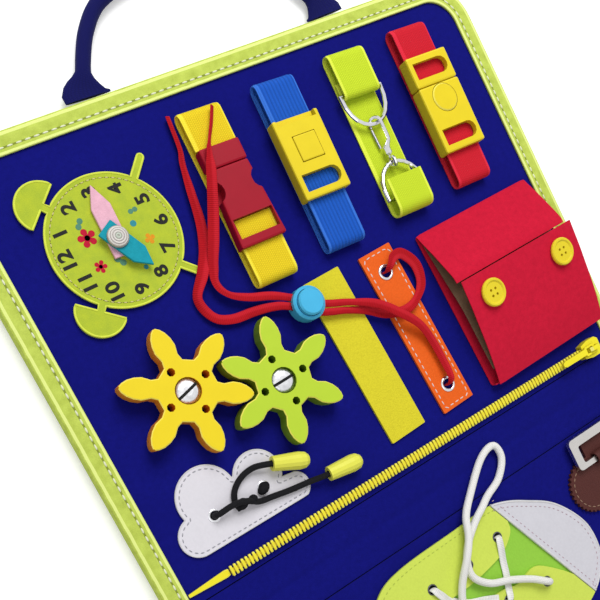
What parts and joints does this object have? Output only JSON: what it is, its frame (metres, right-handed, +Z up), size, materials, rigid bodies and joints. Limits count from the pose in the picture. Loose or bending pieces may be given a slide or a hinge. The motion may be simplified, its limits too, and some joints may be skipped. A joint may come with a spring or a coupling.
{
  "type": "folding felt busy board",
  "caption": "Soft padded board that folds in half like a case, with handles and fasteners, gears, a practice dial, laces, a zip, a pocket and a shoe for a small child to work.",
  "frame": {"origin": "on the table under the middle of the spine, at the centre of the open board", "axes": "+X across the board, +Y from the shoe half to the dial half, +Z up out of the felt face"},
  "size_m": [0.3, 0.5838, 0.0282],
  "materials": {
    "blue_felt": "wool felt",
    "lime_binding": "stitched felt binding",
    "navy_webbing": "padded handle cloth",
    "olive_felt": "printed felt",
    "teal_felt": "felt",
    "pink_felt": "felt",
    "white_plastic": "glossy rivet head",
    "yellow_gear_plastic": "satin moulding",
    "green_gear_plastic": "satin moulding",
    "steel": "nickel plate",
    "yellow_webbing": "woven webbing",
    "red_plastic": "moulded plastic",
    "blue_webbing": "ribbed webbing",
    "yellow_plastic": "moulded plastic",
    "green_webbing": "woven webbing",
    "chrome_wire": "polished",
    "red_webbing": "woven webbing",
    "red_felt": "felt",
    "tan_felt": "felt lining",
    "orange_leather": "stitched soft leather",
    "red_lace": "woven lace",
    "sky_plastic": "moulded plastic",
    "yellow_hook_pile": "hook and loop pile",
    "white_leather": "soft leather",
    "black_elastic": "braided elastic cord",
    "lime_plastic": "moulded plastic",
    "yellow_zip": "moulded plastic",
    "lime_leather": "soft leather",
    "green_leather": "soft leather",
    "white_lace": "round woven lace",
    "brown_leather": "stitched leather"
  },
  "bodies": {
    "lower_panel": {"lower_backing": "blue_felt", "lower_face_felt": "blue_felt", "lower_binding": "lime_binding", "shoe_upper": "lime_leather", "shoe_toe_cap": "white_leather", "shoe_tongue": "green_leather", "shoe_lace": "white_lace", "belt_leather": "brown_leather"},
    "spine": {"spine_felt": "blue_felt", "spine_binding_left": "lime_binding", "spine_binding_right": "lime_binding"},
    "upper_panel": {"upper_backing": "blue_felt", "upper_face_felt": "blue_felt", "upper_binding": "lime_binding", "clock_face": "olive_felt", "clock_rivet": "white_plastic", "yellow_gear_screw": "steel", "green_gear_screw": "steel", "strap_1_webbing": "yellow_webbing", "buckle_1_male": "red_plastic", "strap_2_webbing": "blue_webbing", "buckle_2_body": "yellow_plastic", "strap_3_webbing": "green_webbing", "strap_4_webbing": "red_webbing", "buckle_4_lower": "yellow_plastic", "pocket_body": "red_felt", "pocket_liner": "tan_felt", "hook_strip": "yellow_hook_pile", "lacing_strip": "orange_leather", "lace_upper": "red_lace", "lace_lower": "red_lace", "stopper_barrel": "sky_plastic", "cloud_patch": "white_leather", "elastic_a": "black_elastic", "elastic_b": "black_elastic", "cord_end_a": "lime_plastic", "cord_end_b": "lime_plastic", "zip_chain": "yellow_zip"},
    "upper_handle": {"upper_handle": "navy_webbing"},
    "lower_handle": {"lower_handle": "navy_webbing"},
    "hour_hand": {"hour_hand": "teal_felt"},
    "minute_hand": {"minute_hand": "pink_felt"},
    "yellow_gear": {"yellow_gear": "yellow_gear_plastic"},
    "green_gear": {"green_gear": "green_gear_plastic"},
    "buckle_1_socket": {"buckle_1_female": "red_plastic"},
    "buckle_2_latch": {"buckle_2_tongue": "yellow_plastic"},
    "buckle_2_button": {"buckle_2_button": "yellow_plastic"},
    "buckle_4_upper_half": {"buckle_4_upper": "yellow_plastic"},
    "buckle_4_button": {"buckle_4_button": "yellow_plastic"},
    "upper_ring": {"d_ring_upper": "chrome_wire"},
    "lower_ring": {"d_ring_lower": "chrome_wire"},
    "snap_hook": {"snap_hook": "chrome_wire"},
    "snap_hook_gate": {"snap_hook_gate": "chrome_wire"},
    "pocket_cover": {"pocket_cover": "red_felt", "pocket_button_left": "yellow_plastic", "pocket_button_right": "yellow_plastic"},
    "stopper_plunger": {"stopper_plunger": "sky_plastic"},
    "zip_slider": {"zip_slider": "yellow_zip"},
    "zip_pull": {"zip_pull": "yellow_zip"},
    "belt_buckle": {"belt_buckle": "steel"}
  },
  "joints": [
    {"name": "fold_lower", "type": "hinge", "parent": "lower_panel", "child": "spine", "pos_m": [0, -0.0155, 0.0098], "axis": [-1, 0, 0], "range_deg": [-90, 0], "deforming": ["shoe_lace"]},
    {"name": "fold_upper", "type": "hinge", "parent": "spine", "child": "upper_panel", "pos_m": [0, 0.0155, 0.0098], "axis": [-1, 0, 0], "range_deg": [-90, 0]},
    {"name": "upper_handle_swing", "type": "hinge", "parent": "upper_panel", "child": "upper_handle", "pos_m": [0, 0.2413, 0.0048], "axis": [1, 0, 0], "range_deg": [0, 90]},
    {"name": "lower_handle_swing", "type": "hinge", "parent": "lower_panel", "child": "lower_handle", "pos_m": [0, -0.2413, 0.0048], "axis": [-1, 0, 0], "range_deg": [0, 90]},
    {"name": "hour_hand_turn", "type": "hinge", "parent": "upper_panel", "child": "hour_hand", "pos_m": [-0.0897, 0.1777, 0.0133], "axis": [0, 0, 1], "continuous": true},
    {"name": "minute_hand_turn", "type": "hinge", "parent": "upper_panel", "child": "minute_hand", "pos_m": [-0.0897, 0.1777, 0.0112], "axis": [0, 0, 1], "continuous": true},
    {"name": "yellow_gear_spin", "type": "hinge", "parent": "upper_panel", "child": "yellow_gear", "pos_m": [-0.0961, 0.1031, 0.0144], "axis": [0, 0, 1], "continuous": true},
    {"name": "green_gear_spin", "type": "hinge", "parent": "upper_panel", "child": "green_gear", "pos_m": [-0.0526, 0.0871, 0.0144], "axis": [0, 0, 1], "continuous": true},
    {"name": "buckle_1_release", "type": "slide", "parent": "upper_panel", "child": "buckle_1_socket", "axis": [-0.0279, -0.9996, 0], "range_m": [0, 0.016], "deforming": ["strap_1_webbing"]},
    {"name": "buckle_2_release", "type": "slide", "parent": "upper_panel", "child": "buckle_2_latch", "axis": [0.0384, 0.9993, 0], "range_m": [0, 0.016], "deforming": ["strap_2_webbing"]},
    {"name": "buckle_2_press", "type": "slide", "parent": "upper_panel", "child": "buckle_2_button", "axis": [0, 0, -1], "range_m": [0, 0.0014], "stiffness_N_per_m": 600},
    {"name": "buckle_4_release", "type": "slide", "parent": "upper_panel", "child": "buckle_4_upper_half", "axis": [0.0244, 0.9997, 0], "range_m": [0, 0.016], "deforming": ["strap_4_webbing"]},
    {"name": "buckle_4_press", "type": "slide", "parent": "upper_panel", "child": "buckle_4_button", "axis": [0, 0, -1], "range_m": [0, 0.0014], "stiffness_N_per_m": 600},
    {"name": "lower_ring_lift", "type": "hinge", "parent": "upper_panel", "child": "lower_ring", "pos_m": [0.05902, 0.14102, 0.0146], "axis": [0.9995, -0.0314, 0], "range_deg": [0, 12]},
    {"name": "snap_hook_level", "type": "hinge", "parent": "lower_ring", "child": "snap_hook", "pos_m": [0.05958, 0.15901, 0.0134], "axis": [0.9995, -0.0314, 0], "range_deg": [-12, 0]},
    {"name": "upper_ring_lift", "type": "hinge", "parent": "upper_panel", "child": "upper_ring", "pos_m": [0.0608, 0.19789, 0.0134], "axis": [-0.9995, 0.0314, 0], "range_deg": [0, 12]},
    {"name": "snap_hook_gate_open", "type": "hinge", "parent": "snap_hook", "child": "snap_hook_gate", "pos_m": [0.058, 0.16766, 0.01119], "axis": [0.7657, -0.0241, -0.6428], "range_deg": [0, 12], "stiffness_Nm_per_rad": 0.01},
    {"name": "pocket_cover_open", "type": "hinge", "parent": "upper_panel", "child": "pocket_cover", "pos_m": [0.09655, 0.03222, 0.0145], "axis": [0.9996, 0.0279, 0], "range_deg": [0, 120]},
    {"name": "stopper_press", "type": "slide", "parent": "upper_panel", "child": "stopper_plunger", "axis": [0, 0, -1], "range_m": [0, 0.0024], "stiffness_N_per_m": 800},
    {"name": "zip_slide", "type": "slide", "parent": "upper_panel", "child": "zip_slider", "axis": [1, 0, 0], "range_m": [-0.225, 0]},
    {"name": "zip_pull_swing", "type": "hinge", "parent": "zip_slider", "child": "zip_pull", "pos_m": [0.1245, 0.0213, 0.0142], "axis": [0, 1, 0], "range_deg": [0, 150]},
    {"name": "belt_buckle_lift", "type": "hinge", "parent": "lower_panel", "child": "belt_buckle", "pos_m": [0.101, -0.0328, 0.01259], "axis": [1, 0, 0], "range_deg": [0, 100]}
  ],
  "couplings": [
    {"joint": "fold_upper", "follows": "fold_lower", "ratio": 1},
    {"joint": "green_gear_spin", "follows": "yellow_gear_spin", "ratio": -1},
    {"joint": "snap_hook_level", "follows": "lower_ring_lift", "ratio": -1},
    {"joint": "upper_ring_lift", "follows": "lower_ring_lift", "ratio": 1}
  ]
}
